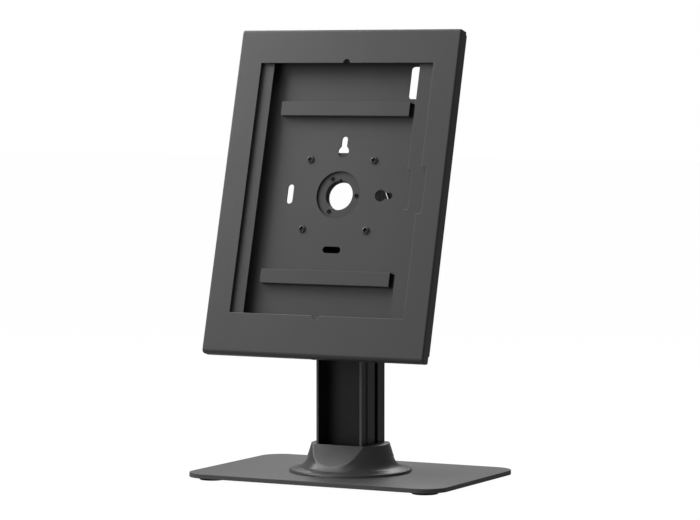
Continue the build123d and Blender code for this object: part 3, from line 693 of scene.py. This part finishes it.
def cover_shape():
    """Trumpet-shaped shell whose front and back are pared to facets that die into the flange."""
    trumpet, facet = cover_profile(), facet_profile()
    turns = cover_turns()
    count = len(turns)
    tops = [min(COVER_TOP_RADIUS, FACET_TOP / max(abs(math.sin(a)), 1e-6)) for a in turns]
    squares = [COVER_OPENING / max(abs(math.cos(a)), abs(math.sin(a))) for a in turns]

    def ring(radii, height):
        heights = height if isinstance(height, list) else [height] * count
        return [
            (r * math.cos(a), r * math.sin(a), z + COVER_FOOT)
            for a, r, z in zip(turns, radii, heights)
        ]

    rows = [
        ring([radius] * count, height) for radius, height in (
            (HOLLOW_RADIUS, 0.0), (RIM_RADIUS, 0.0), (RIM_RADIUS, 0.0019), (0.0646, 0.0024)
        )
    ]
    for step in range(COVER_STEPS + 1):
        share = (step / COVER_STEPS) ** 1.25
        points = [outer_point(trumpet, facet, a, top, share) for a, top in zip(turns, tops)]
        rows.append(ring([point[0] for point in points], [point[1] for point in points]))
    rows += [
        ring([r - 0.0002 for r in tops], COVER_TOP - 0.0001),
        ring([r - 0.0005 for r in tops], COVER_TOP),
        ring(squares, COVER_TOP),
        ring(squares, COVER_TOP - COVER_OPENING_LIP),
    ]
    for radius, height in (
        (0.0385, 0.0265), (0.0415, 0.0170), (0.0435, 0.0110), (0.0470, 0.0060),
        (0.0520, 0.0030), (0.0600, 0.0010), (HOLLOW_RADIUS, 0.0),
    ):
        rows.append(ring([inner_radius(radius, height, a) for a in turns], height))
    return skin(rows)


def flared_cover():
    """The cover, with the arch that lets a cable out behind."""
    made = as_object("flared_cover_shell", cover_shape())
    arch = prism(
        [(-ARCH_HALF, 0.045), (ARCH_HALF, 0.045), (ARCH_HALF, 0.068), (-ARCH_HALF, 0.068)],
        COVER_FOOT - 0.001, COVER_FOOT + ARCH_HEIGHT,
    )
    cut(made, as_object("cable_arch", arch))
    return keep_creases(made, COVER_CREASE)


def fitted(made, kind, body, slot, *nodes):
    """Finishes a new piece and sets it in place of its CAD nodes."""
    made.data.materials.clear()
    made.data.materials.append(finish_for(kind))
    for face in made.data.polygons:
        face.material_index = 0
    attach(made, body)
    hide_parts(*nodes)
    return made


def paint_shade_in_recesses(made, seats, wide, low, high):
    """Paints shade into every screw's recess with a near-black finish: faces near an axis,
    between two heights.
    """
    made.data.materials.append(finish_for("recess"))
    for face in made.data.polygons:
        for seat in seats:
            away = Vector(face.center) - seat
            height = -away.dot(INTO_TABLET)
            if low < height < high and (away + INTO_TABLET * height).length < wide:
                face.material_index = 1


class KIOSK_OT_enclosure(bpy.types.Operator):
    """Paints the folded sheets of the tablet enclosure"""
    bl_idname = "kiosk.enclosure"
    bl_label = "Tablet enclosure"

    def execute(self, context):
        sizes = context.scene.stand_finishes
        # the softened edges of frame and mask are painted lighter as a highlight
        dress("front_frame", "frame", WINDOW_ROUND, edge="frame_edge")
        dress("rear_housing", "housing", sizes.edge_round)
        dress("mask_plate", "mask", WINDOW_ROUND, edge="mask_edge")
        dress("upper_bar", "housing", sizes.edge_round)
        dress("lower_bar", "housing", sizes.edge_round)
        for name in ("mask_studs", "lock_nut", "lock_screw"):
            dress(name, "steel")
        return {"FINISHED"}


class KIOSK_OT_head(bpy.types.Operator):
    """Finishes the turning and tilting head"""
    bl_idname = "kiosk.head"
    bl_label = "Turning and tilting head"

    def execute(self, context):
        sizes = context.scene.stand_finishes
        for name in ("head_plate", "tilt_bracket", "tilt_yoke"):
            dress(name, "bracket", sizes.edge_round)
        dress("hub_bush", "hub", sizes.edge_round)
        for name in ("friction_ring", "pivot_washers"):
            dress(name, "nylon")
        for name in ("stop_pin", "pivot_bolts", "pivot_nuts"):
            dress(name, "steel")
        lean = (math.pi / 2 - TILT, 0.0, 0.0)
        corners = [
            on_tablet(x * SQUARE_HALF, HUB_UP + y * SQUARE_HALF, SQUARE_SEAT)
            for x in (-1, 1) for y in (-1, 1)
        ]
        screw = cross_screw(
            radius=0.0042, rise=0.0024, shank=0.0020, length=0.0051,
            arm=0.0011, reach=0.0032, depth=0.0022,
        )
        made = fitted(
            repeated("face_cross_screws", screw, corners, lean, "screw"),
            "screw", "enclosure", "dark_screw", "face_screws",
        )
        paint_shade_in_recesses(made, corners, wide=0.0033, low=0.0001, high=0.0017)
        ring = [
            on_tablet(RING_RADIUS * math.cos(a), HUB_UP + RING_RADIUS * math.sin(a), RING_SEAT)
            for a in (0.0, math.radians(120), math.radians(240))
        ]
        screw = socket_screw(
            radius=0.0024, rise=0.0011, shank=0.0015, length=0.0086, wide=0.0014, depth=0.0018
        )
        made = fitted(
            repeated("hub_socket_screws", screw, ring, lean, "steel"),
            "steel", "tilt_head", "dark_screw", "hub_screws",
        )
        paint_shade_in_recesses(made, ring, wide=0.00145, low=-0.0008, high=0.0009)
        dress("yoke_screws", "steel")
        return {"FINISHED"}


class KIOSK_OT_column(bpy.types.Operator):
    """Finishes the extruded column and its cable strip"""
    bl_idname = "kiosk.column"
    bl_label = "Column"

    def execute(self, context):
        dress("column", "column", 0.00025)
        dress("cable_strip", "strip", 0.0002)
        return {"FINISHED"}


class KIOSK_OT_base(bpy.types.Operator):
    """Finishes the base plate, its feet and the flared cover"""
    bl_idname = "kiosk.base"
    bl_label = "Base"

    def execute(self, context):
        dress("base_plate", "base", 0.0002)
        dress("rubber_feet", "rubber")
        dress("base_screws", "steel")
        fitted(flared_cover(), "cover", "stand", "cover_plastic", "flared_cover")
        return {"FINISHED"}


# Stage: name, place, side and power of each lamp; all shine at LAMP_AIM
LAMP_AIM = (0.0, 0.0, 0.25)
LAMPS = (
    ("key_upper_left", (-0.78, -0.363, 0.852), 0.7, 5.6),
    ("left_above", (-0.63, -0.10, 1.25), 0.8, 5.4),
    ("front_fill", (-0.48, -1.20, 0.44), 0.8, 2.3),
    ("above", (0.152, -0.418, 1.472), 0.8, 2.0),
    ("rear_left", (-0.40, 1.02, 0.80), 0.7, 3.0),
    ("rear_fill", (-0.10, 1.15, 1.05), 0.8, 1.3),
)
# The room's light on things, and how much white the camera and mirror images see of it
ROOM_LIGHT = 0.06
ROOM_SEEN = 1.0
ROOM_MIRRORED = 0.1
# The floor's paint as light and as the camera meets it, and the share of glow in each
FLOOR_HALF = 12.0
FLOOR_PAINT = (0.16, 0.16, 0.16)
FLOOR_PAINT_SEEN = (0.85, 0.85, 0.85)
FLOOR_GLOW = 1.06
FLOOR_SEEN = 0.93
FLOOR_MIRRORED = 0.22


def soft_lamp(name, place, side, power):
    """Square area lamp that shines at LAMP_AIM."""
    data = bpy.data.lights.new(name, "AREA")
    data.shape = "RECTANGLE"
    data.size = data.size_y = side
    data.energy = power
    lamp = bpy.data.objects.new(name, data)
    lamp.location = place
    lamp.rotation_euler = (Vector(LAMP_AIM) - Vector(place)).to_track_quat("-Z", "Y").to_euler()
    bpy.context.scene.collection.objects.link(lamp)


def photo_camera(scene):
    """Camera at the place that was fitted to the photo."""
    stage = scene.stand_stage
    data = bpy.data.cameras.new("photo_camera")
    data.sensor_width = 36.0
    data.lens = stage.lens
    data.clip_start = 0.1
    data.clip_end = 100.0
    camera = bpy.data.objects.new("photo_camera", data)
    camera.location = stage.camera_place
    camera.rotation_euler = (math.pi / 2 - stage.camera_pitch, 0.0, stage.camera_turn)
    scene.collection.objects.link(camera)
    scene.camera = camera


def white_room(scene):
    """World that looks white but gives little light."""
    world = bpy.data.worlds.new("studio_white")
    scene.world = world
    world.use_nodes = True
    tree = world.node_tree
    tree.nodes.clear()

    def background(strength):
        node = tree.nodes.new("ShaderNodeBackground")
        node.inputs[0].default_value = (1.0, 1.0, 1.0, 1.0)
        node.inputs[1].default_value = strength
        return node.outputs[0]

    path = tree.nodes.new("ShaderNodeLightPath")
    through = tree.nodes.new("ShaderNodeMath")
    through.operation = "ADD"
    shine = tree.nodes.new("ShaderNodeMath")
    shine.operation = "MULTIPLY_ADD"
    shine.inputs[1].default_value = ROOM_MIRRORED
    pick = tree.nodes.new("ShaderNodeMixShader")
    out = tree.nodes.new("ShaderNodeOutputWorld")
    for start, end in (
        (path.outputs["Is Camera Ray"], through.inputs[0]),
        (path.outputs["Is Transmission Ray"], through.inputs[1]),
        (path.outputs["Is Glossy Ray"], shine.inputs[0]),
        (through.outputs[0], shine.inputs[2]),
        (shine.outputs[0], pick.inputs[0]),
        (background(ROOM_LIGHT), pick.inputs[1]),
        (background(ROOM_SEEN), pick.inputs[2]),
        (pick.outputs[0], out.inputs[0]),
    ):
        tree.links.new(start, end)


def pale_floor(scene):
    """Floor that looks white to the camera and keeps the stand's shadow."""
    shape = bmesh.new()
    bmesh.ops.create_grid(shape, x_segments=1, y_segments=1, size=FLOOR_HALF)
    mesh = bpy.data.meshes.new("pale_floor")
    shape.to_mesh(mesh)
    shape.free()
    floor = bpy.data.objects.new("pale_floor", mesh)
    scene.collection.objects.link(floor)
    paint = Recipe("pale_floor_paint")
    ways = paint.tree.nodes.new("ShaderNodeLightPath")
    camera_ray = Wire(paint, ways.outputs["Is Camera Ray"])
    glossy_ray = Wire(paint, ways.outputs["Is Glossy Ray"])
    paint.finish(
        Base_Color=paint.blend(camera_ray, FLOOR_PAINT, FLOOR_PAINT_SEEN), Roughness=0.7
    )
    glow = paint.add("ShaderNodeEmission", {}, Strength=FLOOR_GLOW)
    pick = paint.tree.nodes.new("ShaderNodeMixShader")
    share = camera_ray * FLOOR_SEEN + glossy_ray * FLOOR_MIRRORED
    paint.connect(share.clamped(), pick.inputs[0])
    paint.connect(glow, pick.inputs[2])
    paint.tree.links.new(paint.surface.outputs[0], pick.inputs[1])
    paint.tree.links.new(pick.outputs[0], paint.out.inputs[0])
    mesh.materials.append(paint.material)


class KIOSK_OT_stage(bpy.types.Operator):
    """Sets the pale floor, the studio light and the camera"""
    bl_idname = "kiosk.stage"
    bl_label = "Stage"

    def execute(self, context):
        context.scene.view_settings.view_transform = "Standard"
        photo_camera(context.scene)
        white_room(context.scene)
        pale_floor(context.scene)
        for lamp in LAMPS:
            soft_lamp(*lamp)
        return {"FINISHED"}


class KIOSK_PT_panel(bpy.types.Panel):
    """Lists the steps that dress the stand"""
    bl_idname = "KIOSK_PT_panel"
    bl_label = "Kiosk stand"
    bl_space_type = "VIEW_3D"
    bl_region_type = "UI"
    bl_category = "Kiosk stand"

    def draw(self, context):
        layout = self.layout
        for step in STEPS:
            layout.operator(step.bl_idname)
        for group in (context.scene.stand_finishes, context.scene.stand_stage):
            for key in group.__annotations__:
                layout.prop(group, key)


STEPS = (KIOSK_OT_enclosure, KIOSK_OT_head, KIOSK_OT_column, KIOSK_OT_base, KIOSK_OT_stage)
CLASSES = (StandFinishes, StandStage, *STEPS, KIOSK_PT_panel)


def register():
    for made in CLASSES:
        bpy.utils.register_class(made)
    bpy.types.Scene.stand_finishes = PointerProperty(type=StandFinishes)
    bpy.types.Scene.stand_stage = PointerProperty(type=StandStage)


def unregister():
    del bpy.types.Scene.stand_finishes
    del bpy.types.Scene.stand_stage
    for made in reversed(CLASSES):
        bpy.utils.unregister_class(made)


def main():
    register()
    bpy.ops.kiosk.enclosure()
    bpy.ops.kiosk.head()
    bpy.ops.kiosk.column()
    bpy.ops.kiosk.base()
    bpy.ops.kiosk.stage()


if __name__ == "__main__":
    main()
